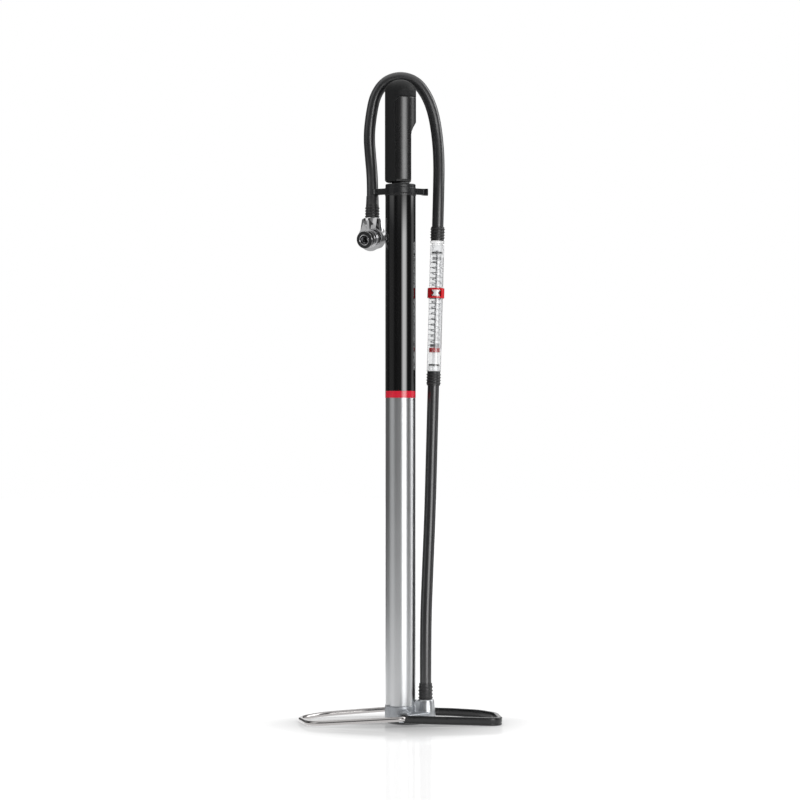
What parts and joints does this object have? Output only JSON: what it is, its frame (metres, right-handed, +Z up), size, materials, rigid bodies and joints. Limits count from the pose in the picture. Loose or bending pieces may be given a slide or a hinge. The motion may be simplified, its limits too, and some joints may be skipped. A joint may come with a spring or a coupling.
{
  "type": "floor bike pump",
  "caption": "Upright bicycle track pump with a folding T-handle, fold-out feet, in-line pressure gauge and a hose head clipped under the cap.",
  "frame": {"origin": "on the ground, on the barrel's axis", "axes": "+Z up along the barrel, +X towards the hose and gauge, -Y towards the front"},
  "size_m": [0.2028, 0.0986, 0.6525],
  "materials": {
    "polished_aluminium": "satin anodised aluminium",
    "black_gloss": "gloss black",
    "colour_band": "gloss red",
    "black_plastic": "satin black",
    "chrome": "polished chrome",
    "steel": "bright steel",
    "cast_metal": "silver painted die casting",
    "black_paint": "satin black powder coat",
    "soft_grip": "matte soft-touch rubber",
    "hose_rubber": "satin black rubber",
    "seal_rubber": "black seal rubber",
    "clear_plastic": "clear polycarbonate",
    "grey_plastic": "grey green plastic",
    "red_plastic": "gloss red",
    "brass": "turned brass"
  },
  "bodies": {
    "pump": {"barrel": "polished_aluminium", "barrel_sleeve": "black_gloss", "colour_band": "colour_band", "top_cap": "black_plastic", "rod_bush": "brass", "rod_wiper": "seal_rubber", "cap_lock_ring": "black_plastic", "clip_collar": "black_plastic", "base_casting": "cast_metal", "barrel_seal_ring": "seal_rubber", "base_pad": "seal_rubber", "check_valve_seat": "brass", "base_hose_barb": "brass", "base_hose_sleeve": "hose_rubber", "detent_washers": "chrome", "lower_hose": "hose_rubber", "upper_hose": "hose_rubber", "gauge_lower_sleeve": "hose_rubber", "gauge_upper_sleeve": "hose_rubber", "gauge_tube": "clear_plastic", "gauge_lower_plug": "grey_plastic", "gauge_upper_plug": "grey_plastic", "gauge_seal_rings": "seal_rubber", "gauge_guide_rod": "steel", "gauge_spring": "steel", "chuck_body": "chrome", "chuck_nozzle": "black_plastic", "chuck_nozzle_ring": "steel", "chuck_gasket": "seal_rubber", "chuck_hose_sleeve": "hose_rubber"},
    "plunger": {"piston_rod": "chrome", "piston_head": "black_plastic", "piston_seal": "seal_rubber", "piston_nut": "steel", "stroke_bumper": "seal_rubber", "hinge_block": "cast_metal", "handle_washers": "steel"},
    "handle": {"handle_body": "black_gloss", "handle_grip": "soft_grip", "handle_pin": "steel"},
    "wire_foot": {"wire_foot": "chrome"},
    "bar_foot": {"bar_foot": "black_paint", "foot_bushes": "black_plastic"},
    "gauge_indicator": {"gauge_indicator": "red_plastic"},
    "gauge_marker": {"gauge_marker": "red_plastic"},
    "check_ball": {"check_valve_ball": "steel"},
    "chuck_knob": {"chuck_knob": "chrome"}
  },
  "joints": [
    {"name": "plunger_stroke", "type": "slide", "parent": "pump", "child": "plunger", "axis": [0, 0, 1], "range_m": [0, 0.44]},
    {"name": "handle_fold", "type": "hinge", "parent": "plunger", "child": "handle", "pos_m": [0, 0, 0.59], "axis": [0, 1, 0], "range_deg": [0, 90]},
    {"name": "wire_foot_fold", "type": "hinge", "parent": "pump", "child": "wire_foot", "pos_m": [0.0035, 0, 0.008], "axis": [0, 1, 0], "range_deg": [0, 75]},
    {"name": "bar_foot_fold", "type": "hinge", "parent": "pump", "child": "bar_foot", "pos_m": [0.0035, 0, 0.008], "axis": [0, -1, 0], "range_deg": [0, 65]},
    {"name": "indicator_travel", "type": "slide", "parent": "pump", "child": "gauge_indicator", "axis": [0.0276, 0.0301, 0.9992], "range_m": [0, 0.075], "stiffness_N_per_m": 120, "springref_m": -0.005, "deforming": ["gauge_spring"]},
    {"name": "marker_travel", "type": "slide", "parent": "pump", "child": "gauge_marker", "axis": [0.0276, 0.0301, 0.9992], "range_m": [-0.07, 0.035]},
    {"name": "check_ball_lift", "type": "slide", "parent": "pump", "child": "check_ball", "axis": [0, 0, 1], "range_m": [0, 0.0012], "stiffness_N_per_m": 60, "springref_m": -0.001},
    {"name": "chuck_knob_turn", "type": "hinge", "parent": "pump", "child": "chuck_knob", "pos_m": [-0.0286, 0.013, 0.4846], "axis": [-0.4608, -0.8667, -0.1908], "range_deg": [0, 180]}
  ]
}
